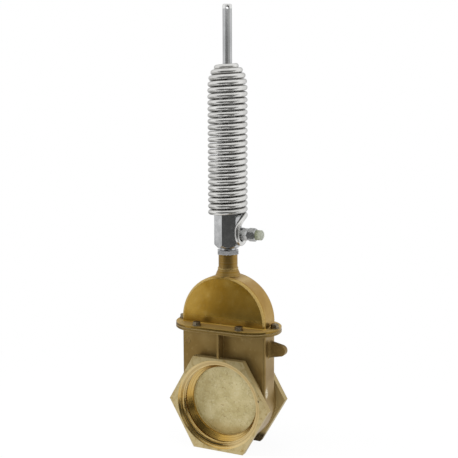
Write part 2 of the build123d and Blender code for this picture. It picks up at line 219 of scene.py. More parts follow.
def bumped(height, strength, depth, normal=None):
    """A normal roughened by a height field."""
    sockets = {"Height": height, "Strength": strength, "Distance": depth}
    if normal is not None:
        sockets["Normal"] = normal
    return height.make("Bump", sockets=sockets)


def surface(place, sockets):
    """Close the tree with a Principled shader that has these values and links."""
    shader = place.make("BsdfPrincipled", sockets=sockets)
    place.make("OutputMaterial", sockets={"Surface": shader})


print("worn edges with", bevel_samples, "bevel samples")

# %% [markdown]
# ## Measures read from the frame
# The heights of ports and flange are needed all through the lesson. They could be typed in, but the boxes
# of the seat ring and the gasket give them, so they can't drift from the solids. A size that no box gives,
# such as the flange's thickness or the wire, has a name where it is first needed.

# %% Measures
gasket_low, gasket_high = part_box("flange_gasket")
ring_low, ring_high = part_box("front_seat_ring")
port_height = (ring_low.z + ring_high.z) / 2
seat_face = -ring_low.y
flange_thickness = 5.2 * millimetre
flange_bottom = gasket_low.z - flange_thickness
flange_top = gasket_high.z + flange_thickness
print("ports at", round(port_height, 4), "flange", round(flange_bottom, 4), "to", round(flange_top, 4))

# %% [markdown]
# ## Cast brass
# Body and bonnet are sand castings, tumbled and lacquered: a brown gold with a faint orange peel, darker in
# patches, and rubbed pale along each edge. Faces that point up get a painted pale light, and the flange's
# sides a painted shade. One texture could not follow both castings, so noise in the frame's own metres does,
# and a bevel normal finds the edges without any painting.

# %% Cast skin
brass_pale_wear_and_sheen = colour(0.58, 0.43, 0.17)
brass_painted_shade = colour(0.17, 0.105, 0.025)
casting_edge = 1.0 * millimetre
patch_size = 60 * millimetre
peel_size = 7 * millimetre
grain_size = 1.2 * millimetre
dull_full = flange_top + 8 * millimetre
dull_end = flange_top + 22 * millimetre


def cast_skin(place, gold, brown, haze):
    """Colour, roughness, height, soft normal and edges of a casting, duller as haze goes from 0 to 1."""
    patch = noise(place, patch_size).rise(0.35, 0.68)
    peel = noise(place, peel_size, detail=2.0)
    grain = noise(place, grain_size, detail=2.0)
    soft, edge = worn_edge(place, casting_edge)
    [normal_z] = facing(place, "Z")
    upward = normal_z.rise(0.85, 0.97)
    [z] = axes(place, "Z")
    flange_side = past(z, flange_bottom) * up_to(z, flange_top) * (1 - upward)
    foot = z.rise(dull_end, dull_full) * past(z, flange_top)
    tone = patch.tint(gold, brown)
    # Painted light: faces that point up are tinted pale, as if lit from above.
    tone = (upward * 0.7).tint(tone, brass_pale_wear_and_sheen)
    tone = (peel.rise(0.55, 0.8) * 0.2).tint(tone, brass_pale_wear_and_sheen)
    # Painted shade: the flange's sides are darkened.
    tone = (flange_side * 0.6).tint(tone, brass_painted_shade)
    rough = 0.1 + haze * 0.29 + upward * 0.35 + foot * 0.18 + patch * 0.05 + peel * 0.05
    height = peel * 0.7 + grain * (0.03 + haze * 0.22)
    return tone, rough, height, soft, edge


print("cast skin, duller up to", round(dull_end, 4))

# %% [markdown]
# ## Machined ports
# The hexagon ends are faced, bored and bevelled on a lathe, which leaves fine rings and paler brass. Faces
# of the solid could have slots of their own, but the body is one node with one slot. So masks made from
# the port's lengths say where the cuts are: face, hexagon, wall and mouth.

# %% Where the ports are cut
port_face = 48.7 * millimetre
hexagon_back = 35.0 * millimetre
mouth_radius = 90.0 * millimetre
thread_mouth = 40.0 * millimetre
thread_radius = 80.4 * millimetre
wall_reach = thread_radius + 3.0 * millimetre
mask_margin = 0.2 * millimetre


def port_radius(place):
    """Distance from the port axis, and distance from the gate's middle plane."""
    x, y, z = axes(place)
    up = z - port_height
    return (x * x + up * up).root(), abs(y)


def port_cuts(place):
    """Masks of all that is cut, of the hexagon's sides, of the port's inside and of its bevelled mouth."""
    radius, depth = port_radius(place)
    [z] = axes(place, "Z")
    below = up_to(z, 2 * port_height + mask_margin)
    face = past(depth, port_face - mask_margin) * below
    hexagon = past(depth, hexagon_back - mask_margin) * below
    wall = up_to(radius, wall_reach) * past(depth, seat_face)
    mouth = up_to(radius, mouth_radius + mask_margin) * past(depth, thread_mouth)
    inside = wall.largest(mouth) * up_to(depth, port_face - 2 * mask_margin)
    bright = face.largest(wall).largest(mouth)
    return bright.largest(hexagon), hexagon * (1 - bright), inside, mouth


print("ports cut from", round(hexagon_back, 4), "to the face at", round(port_face, 4))

# %% [markdown]
# ## The look of the cuts
# A lathe leaves rings in the wall and streaks on the faces. Modelled rings would cost many polygons, so
# noise along radius and depth draws them. A painted golden highlight lies on the lower left of each port,
# and the rest of its bevelled mouth is rougher and duller.

# %% Port machining
brass_cut = colour(0.53, 0.43, 0.225)
brass_cut_dark = colour(0.36, 0.25, 0.085)
brass_side = colour(0.37, 0.28, 0.12)
brass_bevel = colour(0.58, 0.43, 0.185)
brass_bore = colour(0.57, 0.345, 0.075)
brass_groove = colour(0.46, 0.29, 0.075)
golden_start = 30 * millimetre
golden_full = 80 * millimetre
streak_size = 12 * millimetre
scratch_size = 2.5 * millimetre
turning_size = 2.2 * millimetre
tool_pitch = 1.1 * millimetre


def ring_noise(value, size):
    """Noise that changes along one value only, as a lathe leaves it."""
    return value.make("TexNoise", {"noise_dimensions": "1D"},
                      {"W": value * (1 / size), "Scale": 1.0, "Detail": 2.0})


def painted_golden_highlight(place):
    """A mask of the lower left part of the ports, where a painted highlight makes the cut brass bright and
    golden.
    """
    x, z = axes(place, "XZ")
    return (port_height - x - z).rise(golden_start, golden_full)


def port_machining(place):
    """A mask of the machined places round the ports, and their colour, roughness, metal and tool lines."""
    cut, sides, inside, mouth = port_cuts(place)
    golden = painted_golden_highlight(place)
    dull = mouth * inside * (1 - golden)
    radius, depth = port_radius(place)
    streak = noise(place, streak_size, stretch=(1, 0.15, 1)) * 0.7 + noise(place, scratch_size) * 0.3
    rings = ring_noise(radius + depth * 0.8, turning_size)
    ringed = rings.rise(0.38, 0.66)
    # Painted highlight: the lower left of the port is tinted a brighter, more golden brass.
    warm = golden.tint(brass_bevel, brass_bore)
    face_tone = streak.rise(0.45, 0.72).tint(brass_cut, brass_cut_dark)
    wall_tone = ringed.tint(warm, brass_groove)
    mouth_tone = ringed.tint(golden.tint(brass_cut, brass_bevel), warm)
    tone = inside.tint(sides.tint(face_tone, brass_side), mouth.tint(wall_tone, mouth_tone))
    rough = 0.26 + streak * 0.1 - inside * 0.14 + sides * 0.14 + dull * 0.25
    metal = 1 - sides * 0.35 - dull * 0.55
    lines = ((radius + depth * 0.7) * (2 * pi / tool_pitch)).sine() * 0.1 + rings * inside
    return cut, tone, rough, metal, lines


print("tool lines every", tool_pitch, "metres")

# %% [markdown]
# ## Turned neck and painted highlights
# The bonnet's neck is turned, with a painted highlight on the collar at its foot, and the slanting edge of
# the dome has a painted highlight in a paler gold. The edge could be its own mesh. Here the surface's normal
# finds it, because only a slanting face looks partly along the flow.

# %% Bonnet machining
brass_brown = colour(0.31, 0.17, 0.018)
neck_gold = colour(0.36, 0.24, 0.085)
rim_highlight_gold = colour(0.40, 0.275, 0.085)
bonnet_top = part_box("bonnet")[1].z
neck_length = 29 * millimetre
neck_foot = bonnet_top - neck_length
neck_ring_size = 1.8 * millimetre
collar_height = 1.8 * millimetre
dome_top = 345.0 * millimetre
neck_start = dome_top - 4 * millimetre
neck_full = dome_top + 3 * millimetre
rim_high = dome_top - 3 * millimetre
rim_start = flange_top + 4 * millimetre
rim_full = flange_top + 8 * millimetre


def bonnet_machining(place):
    """A mask of the turned neck and the dome's slanting edge, and the look of both, with painted highlights.
    """
    [z] = axes(place, "Z")
    [normal_y] = facing(place, "Y")
    along_flow = abs(normal_y)
    neck = z.rise(neck_start, neck_full)
    collar_highlight = past(z, neck_foot) * up_to(z, neck_foot + collar_height)
    slant = along_flow.rise(0.2, 0.45) * along_flow.rise(0.9995, 0.99)
    rim = slant * z.rise(neck_full, rim_high) * z.rise(rim_start, rim_full)
    rings = ring_noise(z, neck_ring_size)
    tone = rings.rise(0.4, 0.7).tint(neck_gold, brass_brown)
    # Painted highlight: the collar at the neck's foot is tinted pale.
    tone = collar_highlight.tint(tone, brass_pale_wear_and_sheen)
    # Painted highlight: the dome's slanting edge is tinted a paler gold, and is also rougher and less
    # metallic.
    tone = rim.tint(tone, rim_highlight_gold)
    return neck.largest(rim), tone, 0.42 + rings * 0.1 + rim * 0.14, 1 - rim * 0.5, rings * neck * 0.6


print("neck from", round(neck_foot, 4), "to", round(bonnet_top, 4))

# %% [markdown]
# ## The two castings and their marks
# The body is hazy and worn and the bonnet is nearly polished, so one function takes the tones and a haze.
# The body also has marks: a pale patch on its side, a dark spot on the port's face, a stain where the
# metal was poured, a browner lug, and painted shade low on the rear port end next to the floor. Each could
# be painted on a map. Here each is a soft ball in space with a colour, and noise breaks up a share of it.

# %% Brass finishes
brass_gold = colour(0.395, 0.243, 0.047)
body_gold = colour(0.295, 0.20, 0.07)
body_brown = colour(0.22, 0.138, 0.038)
casting_relief = 0.4 * millimetre
mark_grain = 3 * millimetre
pour_centre = (-78.3, -25.5, 210.9)


def mark(centre, reach, tone, breaks):
    """A mark given in millimetres, with its colour and the share of it that noise breaks up."""
    return Vector(centre) * millimetre, Vector(reach) * millimetre, tone, breaks


def casting_finish(name, gold, brown, haze, machined, marks):
    """Cast brass with machined places, and the marks given, which may include painted shade."""
    material, place = new_finish(name)
    tone, rough, height, soft, edge = cast_skin(place, gold, brown, haze)
    mask, cut_tone, cut_rough, cut_metal, lines = machined(place)
    tone = mask.tint(tone, cut_tone)
    tone = (edge * 0.7).tint(tone, brass_pale_wear_and_sheen)
    metal = (1 - mask) * (0.92 - haze * 0.15) + mask * cut_metal
    rough = (1 - mask) * rough + mask * cut_rough
    height = height * (1 - mask * 0.7) + lines * mask
    # Each mark tints the tone. The mark at the rear port's foot is painted shade.
    for centre, reach, mark_tone, breaks in marks:
        broken = noise(place, mark_grain, detail=2.0).rise(0.35, 0.55)
        spot = near(place, centre, reach) * (1 - breaks + broken * breaks)
        tone = spot.tint(tone, mark_tone)
        rough = rough + spot * 0.3
    surface(place, {"Base Color": tone, "Metallic": metal, "Roughness": rough,
                    "Normal": bumped(height, 0.09 + haze * 0.09, casting_relief, soft)})
    return material


# A pale patch on the body's side.
pale_side_patch = mark((91, -15, 122), (6, 8, 15), colour(0.70, 0.64, 0.50), breaks=1.0)
dark_spot = mark((87, -port_face / millimetre, 114), (3.5, 3, 3.5), colour(0.08, 0.05, 0.02), breaks=1.0)
pour_stain = mark(pour_centre, (6, 4, 6), colour(0.30, 0.19, 0.08), breaks=1.0)
brown_lug = mark((108, 0, 212), (24, 30, 30), colour(0.185, 0.115, 0.032), breaks=0.3)
# Painted shade: the low rear port end beside the floor is darkened as if in shadow.
rear_foot_painted_shade = mark((50, 35, 4), (60, 12, 22), colour(0.05, 0.032, 0.01), breaks=0.15)
body_marks = [pale_side_patch, dark_spot, pour_stain, brown_lug, rear_foot_painted_shade]
body_brass = casting_finish("cast_brass_body", body_gold, body_brown, haze=0.8,
                            machined=port_machining, marks=body_marks)
bonnet_brass = casting_finish("cast_brass_bonnet", brass_gold, brass_brown, haze=0.0,
                              machined=bonnet_machining, marks=[])
print("brass finishes", body_brass.name, "with", len(body_marks), "marks, and", bonnet_brass.name)

# %% [markdown]
# ## The gate's face
# The gate is the same brass left rough and matt, pale and a little green where water stood. It could be a
# plain rough metal, but the real face is blotchy, with dark flecks and thin winding marks. Noises of
# different size break its colour up, and the thin marks are where one noise crosses its middle value.

# %% Gate finish
gate_pale = colour(0.53, 0.46, 0.25)
gate_dull = colour(0.42, 0.345, 0.16)
gate_chalk = colour(0.62, 0.58, 0.40)
gate_line = colour(0.30, 0.235, 0.09)
gate_fleck = colour(0.28, 0.20, 0.07)
gate_shaded_gold = colour(0.40, 0.28, 0.09)
gold_start = 55 * millimetre
gold_full = 26 * millimetre
blotch_size = 30 * millimetre
speck_size = 4 * millimetre
fleck_size = 6 * millimetre
line_size = 14 * millimetre
gate_grain = 1.6 * millimetre
gate_relief = 0.5 * millimetre


def gate_finish():
    """Rough pale brass with specks, flecks and thin lines, and painted shade that makes it darker and more
    golden towards the bottom of the port.
    """
    material, place = new_finish("gate_brass")
    blotch = noise(place, blotch_size, detail=5.0).rise(0.35, 0.7)
    speck = noise(place, speck_size, detail=4.0).rise(0.5, 0.75)
    fleck = noise(place, fleck_size, detail=2.0).rise(0.64, 0.72)
    line = abs(noise(place, line_size, detail=2.5) - 0.5).rise(0.02, 0.004)
    [z] = axes(place, "Z")
    tone = blotch.tint(gate_pale, gate_dull)
    tone = (speck * 0.45).tint(tone, gate_chalk)
    tone = (line * 0.5).tint(tone, gate_line)
    tone = (fleck * 0.6).tint(tone, gate_fleck)
    # Painted shade: the lower part of the gate is tinted a darker gold.
    tone = (z.rise(gold_start, gold_full) * 0.6).tint(tone, gate_shaded_gold)
    height = noise(place, gate_grain, detail=4.0) - line * 0.4
    surface(place, {"Base Color": tone, "Metallic": 0.35, "Roughness": 0.5 + blotch * 0.12,
                    "Normal": bumped(height, strength=0.45, depth=gate_relief)})
    return material


gate_brass = gate_finish()
print("gate finish", gate_brass.name)

# %% [markdown]
# ## Zinc, bright wire and bronze
# The cylinder parts and the fitting are zinc plated, the spring wire is bright, and the bolts are dulled to
# bronze. Each could have its own shader, but all are plated steel, so one function serves: what tells them
# apart is their tone and the size and direction of their fine marks. Plated steel turns grey and not white
# at a glancing angle, so the shader has a darker tint there.

# %% Plated steel
steel_edge = colour(0.72, 0.72, 0.71)
glancing_grey = colour(0.55, 0.55, 0.55)
steel_edge_radius = 0.5 * millimetre
steel_relief = 0.2 * millimetre


def steel_finish(name, light, dark, rough, blotch_size, mark_size, stretch, edge_share,
                 relief=0.12, worn=None):
    """A plated metal with soft blotches, directional marks, perhaps bright edges, and perhaps painted light.
    """
    material, place = new_finish(name)
    blotch = noise(place, blotch_size)
    marks = noise(place, mark_size, stretch=stretch)
    soft = None
    tone = blotch.rise(0.3, 0.7).tint(light, dark)
    if edge_share:
        soft, edge = worn_edge(place, steel_edge_radius)
        tone = (edge * edge_share).tint(tone, steel_edge)
    roughness = rough + marks * 0.1 + blotch * 0.06
    # The rod's painted highlight and painted shade come in here.
    if worn is not None:
        tone, roughness = worn(place, tone, roughness)
    surface(place, {"Base Color": tone, "Metallic": 1.0, "Roughness": roughness,
                    "Specular Tint": glancing_grey, "Normal": bumped(marks, relief, steel_relief, soft)})
    return material


zinc = steel_finish(
    "zinc_plate", light=colour(0.66, 0.665, 0.67), dark=colour(0.52, 0.525, 0.53), rough=0.15,
    blotch_size=12 * millimetre, mark_size=1.2 * millimetre, stretch=(1, 1, 6), edge_share=0.5)
bright_wire = steel_finish(
    "bright_wire", light=colour(0.78, 0.775, 0.755), dark=colour(0.64, 0.635, 0.615), rough=0.2,
    blotch_size=20 * millimetre, mark_size=3 * millimetre, stretch=(4, 4, 1), edge_share=0.0, relief=0.005)
fitting_zinc = steel_finish(
    "fitting_zinc", light=colour(0.56, 0.565, 0.56), dark=colour(0.40, 0.405, 0.40), rough=0.2,
    blotch_size=6 * millimetre, mark_size=1 * millimetre, stretch=(6, 1, 1), edge_share=0.4, relief=0.04)
bolt_bronze = steel_finish(
    "bolt_bronze", light=colour(0.30, 0.25, 0.17), dark=colour(0.19, 0.155, 0.10), rough=0.3,
    blotch_size=4 * millimetre, mark_size=0.8 * millimetre, stretch=(1, 1, 1), edge_share=0.15)
print("plated steel", zinc.name, bright_wire.name, fitting_zinc.name, bolt_bronze.name)

# %% [markdown]
# ## The ground rod
# The rod is hard chrome, ground lengthwise, with a painted highlight on its top and painted shade on the
# wall of its small cross hole. The hole's wall could be a dark piece of its own, but distance from the
# hole's axis is enough to find it.

# %% Chrome
rod_top_highlight = colour(0.80, 0.80, 0.79)
eye_painted_shade = colour(0.03, 0.03, 0.03)
eye_height = 864.0 * millimetre
eye_reach = 3.05 * millimetre
eye_turn = radians(30)
bright_start = eye_height - 2.5 * millimetre
bright_full = eye_height - 1.0 * millimetre


def rod_painted_light(place, tone, roughness):
    """A painted highlight on the rod's top, and painted shade on the wall of its cross hole."""
    x, y, z = axes(place)
    beside = x * cos(eye_turn) + y * sin(eye_turn)
    over = z - eye_height
    eye = up_to((beside * beside + over * over).root(), eye_reach)
    top = z.rise(bright_start, bright_full)
    # Painted highlight on the rod's top, then painted shade on the cross hole's wall.
    tone = top.tint(tone, rod_top_highlight)
    tone = eye.tint(tone, eye_painted_shade)
    return tone, roughness + eye * 0.5 + top * 0.1


chrome = steel_finish(
    "ground_chrome", light=colour(0.52, 0.525, 0.53), dark=colour(0.45, 0.455, 0.46), rough=0.13,
    blotch_size=30 * millimetre, mark_size=0.6 * millimetre, stretch=(1, 1, 12), edge_share=0.4,
    worn=rod_painted_light)
print("rod finish", chrome.name)

# %% [markdown]
# ## Gasket, wiper and the plastic cap
# The wiper is black rubber and the gasket is brown fibre sheet. The dust cap is thin soft plastic that lets
# the fitting show through, so its shader passes light instead of being painted pale.

# %% Soft finishes
cap_green = colour(0.20, 0.215, 0.13)
cap_pale = colour(0.40, 0.415, 0.34)
cap_low, cap_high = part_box("dust_cap")
tip_start = cap_low.x + 2 * millimetre
tip_full = cap_high.x - 3 * millimetre
cloud_size = 6 * millimetre
cap_relief = 0.3 * millimetre
sheet_relief = 0.2 * millimetre


def matt_finish(name, dark, light, rough, grain_size):
    """A matt sheet or rubber with a fine grain."""
    material, place = new_finish(name)
    grain = noise(place, grain_size, detail=4.0)
    tone = grain.rise(0.35, 0.7).tint(dark, light)
    surface(place, {"Base Color": tone, "Roughness": rough + grain * 0.15,
                    "Normal": bumped(grain, strength=0.3, depth=sheet_relief)})
    return material


def cap_finish():
    """Cloudy plastic that passes some light and is palest at its tip."""
    material, place = new_finish("cap_plastic")
    cloud = noise(place, cloud_size)
    [x] = axes(place, "X")
    tip = x.rise(tip_start, tip_full)
    tone = (tip * 0.8 + cloud * 0.2).tint(cap_green, cap_pale)
    surface(place, {"Base Color": tone, "Roughness": 0.25 + cloud * 0.12, "IOR": 1.45,
                    "Transmission Weight": 0.35, "Normal": bumped(cloud, strength=0.05, depth=cap_relief)})
    return material


rubber = matt_finish("black_rubber", dark=colour(0.02, 0.02, 0.02), light=colour(0.045, 0.045, 0.043),
                     rough=0.5, grain_size=1.2 * millimetre)
gasket_sheet = matt_finish("gasket_sheet", dark=colour(0.20, 0.14, 0.05), light=colour(0.26, 0.185, 0.075),
                           rough=0.55, grain_size=0.9 * millimetre)
cap_plastic = cap_finish()
print("soft finishes", rubber.name, gasket_sheet.name, cap_plastic.name)

# %% [markdown]
# ## A finish for every node
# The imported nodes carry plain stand-in materials. Each node could be given its finish by hand, but a list
# by finish shows at a glance which pieces are made of the same stuff.

# %% Give every node its finish
finished_nodes = [
    (body_brass, ["valve_body"]),
    (bonnet_brass, ["bonnet"]),
    (gate_brass, ["gate_plate", "front_seat_ring", "rear_seat_ring"]),
    (zinc, ["lock_nut", "cylinder_base", "cylinder_tube", "gland_nut"]),
    (zinc, ["gate_nut", "piston", "spring_seat", "seat_nut"]),
    (fitting_zinc, ["sealing_washer", "stud_fitting", "coupling_nut"]),
    (chrome, ["piston_rod"]),
    (bright_wire, ["return_spring"]),
    (rubber, ["rod_wiper"]),
    (gasket_sheet, ["flange_gasket"]),
    (cap_plastic, ["dust_cap"]),
]
for material, node_names in finished_nodes:
    for node_name in node_names:
        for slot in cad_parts[node_name].material_slots:
            slot.material = material
print("finished nodes", sum(len(node_names) for material, node_names in finished_nodes))

# %% [markdown]
# ## Meshes from rings
# Wire, bolts and threads are all rings of points joined in rows. A modifier stack could make each of them,
# but one function that skins rows of points keeps every shape a formula. The ends are closed by flat caps,
# or the last row is joined to the first, so each piece is a closed solid.

# %% Skin rows of points
sharp_angle = radians(35)


def skin(name, rows, material, loop=False):
    """A closed mesh of rings joined by quads, with flat caps, or with the last ring joined to the first."""
    width = len(rows[0])
    points = [tuple(p) for row in rows for p in row]
    faces = []
    for low in range(len(rows) if loop else len(rows) - 1):
        high = (low + 1) % len(rows)
        for index in range(width):
            after = (index + 1) % width
            faces.append((low * width + index, low * width + after,
                          high * width + after, high * width + index))
    if not loop:
        faces.append(tuple(reversed(range(width))))
        faces.append(tuple(range(len(points) - width, len(points))))
    mesh = bpy.data.meshes.new(name)
    mesh.from_pydata(points, [], faces)
    build = bmesh.new()
    build.from_mesh(mesh)
    bmesh.ops.recalc_face_normals(build, faces=build.faces)
    build.to_mesh(mesh)
    build.free()
    mesh.shade_smooth()
    mesh.set_sharp_from_angle(angle=sharp_angle)
    mesh.materials.append(material)
    piece = bpy.data.objects.new(name, mesh)
    bpy.context.scene.collection.objects.link(piece)
    return piece


def housing_piece(name, rows, material, loop=False):
    """A skinned piece that stays with the housing."""
    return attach(skin(name, rows, material, loop), "valve_housing")


print("skin ready, sharp from", round(sharp_angle, 3), "radians")

# %% [markdown]
# ## The coils of the return spring
# The real spring is one round wire, with some twenty straight coils and a top that closes in on the rod and
# nests its last coil. The solid has a six-sided wire in straight chords. A curve object could follow the
# same path, but a plain formula lets it be sampled as finely as the picture needs.

# %% Spring coils
block_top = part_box("cylinder_base")[1].z
coil_radius = 33.645 * millimetre
coil_pitch = 11.76 * millimetre
coil_low = block_top - 11.6 * millimetre
coil_steps = 46
straight_turns = 20.5
taper_turns = 4.6
taper_power = 2.6
top_coil_radius = 16.2 * millimetre
top_coil_drop = 6.0 * millimetre
top_coil_power = 4.3
first_coil_angle = radians(30)


def coil_place(turn):
    """A place on the coils after a number of turns."""
    late = max(0.0, turn - straight_turns) / taper_turns
    radius = coil_radius + (top_coil_radius - coil_radius) * late ** taper_power
    height = coil_low + coil_pitch * turn - top_coil_drop * late ** top_coil_power
    angle = 2 * pi * turn
    return Vector((radius * cos(angle), radius * sin(angle), height))


def coil_path():
    """Places from the start of the first coil to the end of the last."""
    first = first_coil_angle / (2 * pi)
    turns = straight_turns + taper_turns - first
    count = round(turns * coil_steps)
    return [coil_place(first + turns * step / count) for step in range(count + 1)]


coils = coil_path()
print("coils of", len(coils), "places")

# %% [markdown]
# ## Hook and tail
# At the bottom the wire leaves the first coil, rolls down as a tail and ends in a hook under the inlet
# fitting. The hook is an arc in an upright plane. The tail could be a free curve, but a sine and a cosine
# of its share of the way make it leave the hook's leg upright and meet the coil level.

# %% Spring hook and tail
inlet_height = (cap_low.z + cap_high.z) / 2
hook_radius = 18.5 * millimetre
hook_x = 28.95 * millimetre
hook_end_angle = radians(10)
hook_leg = 5.4 * millimetre
hook_steps = 40
tail_steps = 30


def hook_path():
    """Places from the hook's free end, round under the fitting, to the foot of its leg."""
    path = []
    for step in range(hook_steps):
        angle = hook_end_angle - (pi + hook_end_angle) * step / hook_steps
        path.append(Vector((hook_x, hook_radius * cos(angle), inlet_height + hook_radius * sin(angle))))
    path.append(Vector((hook_x, -hook_radius, inlet_height)))
    return path


def tail_path():
    """Places from the hook's leg up to the start of the first coil."""
    path = []
    foot_angle = atan2(-hook_radius, hook_x)
    leg_radius = hypot(hook_x, hook_radius)
    start_height = coil_low + coil_pitch * first_coil_angle / (2 * pi)
    drop = start_height - inlet_height - hook_leg
    for step in range(tail_steps):
        share = step / tail_steps
        rise = 1 - sin(share * pi / 2)
        angle = first_coil_angle + (foot_angle - first_coil_angle) * cos(share * pi / 2)
        radius = leg_radius + (coil_radius - leg_radius) * share
        path.append(Vector((radius * cos(angle), radius * sin(angle), start_height - drop * rise)))
    return path


wire_path = hook_path() + tail_path() + coils
print("spring path of", len(wire_path), "places")

# %% [markdown]
# ## The round wire
# A ring of points is carried along the path. Turning it afresh at each place could twist the wire, so each
# ring is the one before, turned by the smallest angle between the two directions. Both cut ends have a
# small bevel.

# %% Spring wire
wire_radius = 5.15 * millimetre
wire_sides = 20
wire_bevel = 0.6 * millimetre


def wire_rows(path, radius, sides, end_bevel):
    """Rings of points carried along a path by the smallest turn at each step."""
    last = len(path) - 1
    tangents = [(path[min(i + 1, last)] - path[max(i - 1, 0)]).normalized() for i in range(len(path))]
    across = tangents[0].orthogonal().normalized()
    rows = []
    for index, (place, along) in enumerate(zip(path, tangents)):
        if index:
            across = tangents[index - 1].rotation_difference(along) @ across
        across = (across - along * across.dot(along)).normalized()
        beside = along.cross(across)
        ring = [across * cos(2 * pi * s / sides) + beside * sin(2 * pi * s / sides) for s in range(sides)]
        if index == 0:
            rows.append([place + p * (radius - end_bevel) for p in ring])
            rows.append([place + along * end_bevel + p * radius for p in ring])
        elif index == last:
            rows.append([place - along * end_bevel + p * radius for p in ring])
            rows.append([place + p * (radius - end_bevel) for p in ring])
        else:
            rows.append([place + p * radius for p in ring])
    return rows


wire_rings = wire_rows(wire_path, wire_radius, wire_sides, wire_bevel)
spring = skin("spring_wire", wire_rings, bright_wire)
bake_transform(spring)
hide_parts("return_spring")
print("spring wire of", len(spring.data.polygons), "faces")

# %% [markdown]
# ## Flange bolts
# Six bolts clamp the bonnet: hexagon heads on washers, screwed into the lower flange so that no nut shows.
# A hexagon's radius is a formula of the angle, and the turned-off corners are a cone over it, so a whole
# bolt is a stack of rings and no boolean.

# %% Rings for bolts
ring_steps = 48
chamfer_slope = 0.55


def round_ring(centre, radius, height):
    """A level circle of points."""
    turn = 2 * pi / ring_steps
    return [Vector((centre[0] + radius * cos(turn * i), centre[1] + radius * sin(turn * i), height))
            for i in range(ring_steps)]


def hexagon_ring(centre, across_flats, turn, height, chamfer_radius=None):
    """A hexagon of points, whose corners fall away outside the chamfer radius."""
    flat = across_flats / 2
    points = []
    for step in range(ring_steps):
        angle = 2 * pi * step / ring_steps
        past_flat = (angle - turn + pi / 6) % (pi / 3) - pi / 6
        reach = flat / cos(past_flat)
        fall = 0.0
        if chamfer_radius is not None:
            fall = max(0.0, reach - chamfer_radius) * chamfer_slope
        points.append(Vector((centre[0] + reach * cos(angle), centre[1] + reach * sin(angle),
                              height - fall)))
    return points


print("rings of", ring_steps, "points")

# %% [markdown]
# ## Bolt and washer
# From its point up, a bolt is a shank, the underside of its head, six flats and a round face. The washer
# could be part of it, but then its rim would not read as a separate piece, so it is a ring of its own.

# %% Shapes of bolt and washer
head_across_flats = 14.0 * millimetre
head_height = 6.4 * millimetre
head_face_radius = head_across_flats * 0.475
washer_radius = 8.6 * millimetre
washer_thickness = 1.6 * millimetre
washer_bevel = 0.25 * millimetre
shank_radius = 5.4 * millimetre
shank_recess = 0.4 * millimetre
point_radius = shank_radius * 0.8
point_length = 1.0 * millimetre


def bolt_rings(centre, turn):
    """A bolt from its end in the lower flange up to the top of its head."""
    foot = flange_bottom + shank_recess
    head_low = flange_top + washer_thickness
    head_high = head_low + head_height
    return [round_ring(centre, point_radius, foot),
            round_ring(centre, shank_radius, foot + point_length),
            round_ring(centre, shank_radius, head_low),
            hexagon_ring(centre, head_across_flats, turn, head_low),
            hexagon_ring(centre, head_across_flats, turn, head_high, head_face_radius),
            round_ring(centre, head_face_radius, head_high)]


def washer_rings(centre):
    """A washer with its hole, bevelled round its rim."""
    low = flange_top
    high = flange_top + washer_thickness
    return [round_ring(centre, shank_radius, low),
            round_ring(centre, washer_radius - washer_bevel, low),
            round_ring(centre, washer_radius, low + washer_bevel),
            round_ring(centre, washer_radius, high - washer_bevel),
            round_ring(centre, washer_radius - washer_bevel, high),
            round_ring(centre, shank_radius, high)]


print("bolt head of", round(head_across_flats, 4), "on a washer of", round(2 * washer_radius, 4))

# %% [markdown]
# ## Bolts in their places
# Two bolts stand on each long side of the flange and one at each end. They could all be copies of one mesh,
# but no two real bolts stop at the same angle, so each head is turned a little further than the last.

# %% Bolts and washers
head_turn_degrees = 17
bolt_pair_x = 46.0 * millimetre
bolt_pair_y = 47.5 * millimetre
bolt_end_x = 101.0 * millimetre
bolt_places = [(x, y) for x in (-bolt_pair_x, bolt_pair_x) for y in (-bolt_pair_y, bolt_pair_y)]
bolt_places += [(-bolt_end_x, 0), (bolt_end_x, 0)]
for number, centre in enumerate(bolt_places, 1):
    turn = radians(head_turn_degrees * number)
    housing_piece(f"flange_bolt_{number}", bolt_rings(centre, turn), bolt_bronze)
    housing_piece(f"bolt_washer_{number}", washer_rings(centre), bolt_bronze, loop=True)
print("bolts", len(bolt_places))

# %% [markdown]
# ## Thread brass
# A cut thread is darker in its roots and paler on its crests. The shader could read
# a painted map, but it knows the wall's radius, so the distance from the wall says root or crest.

# %% Thread finish
brass_root = colour(0.32, 0.19, 0.045)
soil_size = 4 * millimetre
thread_relief = 0.3 * millimetre
pipe_depth = 1.5 * millimetre
bevel_slope = (mouth_radius - thread_radius) / (port_face - thread_mouth)


def thread_finish():
    """Machined brass that is dark in the roots of the thread and pale on its crests."""
    material, place = new_finish("thread_brass")
    radius, depth = port_radius(place)
    wall = thread_radius + bevel_slope * (depth - thread_mouth).largest(0.0)
    crest = (wall - radius).rise(0.1 * pipe_depth, 0.9 * pipe_depth)
    soil = noise(place, soil_size)
    # The painted golden highlight stays on the lower left. Elsewhere the thread is paler, rougher and less
    # metallic.
    dull = 1 - painted_golden_highlight(place)
    tone = crest.tint(brass_root, brass_bevel)
    tone = (soil.rise(0.5, 0.7) * 0.4).tint(tone, brass_bore)
    tone = (dull * 0.5).tint(tone, brass_cut)
    surface(place, {"Base Color": tone, "Metallic": 1 - dull * 0.55,
                    "Roughness": 0.16 + soil * 0.08 + dull * 0.25,
                    "Normal": bumped(soil, strength=0.1, depth=thread_relief)})
    return material


thread_brass = thread_finish()
print("thread finish", thread_brass.name)

# %% [markdown]
# ## Pipe threads
# Each port has a parallel pipe thread that starts on the bevel of the mouth, and its crests catch light.
# A bump would vanish at the outline, so the thread is real: a ring whose inner radius follows a helix and
# fades out at both ends, with its back sunk in the wall.

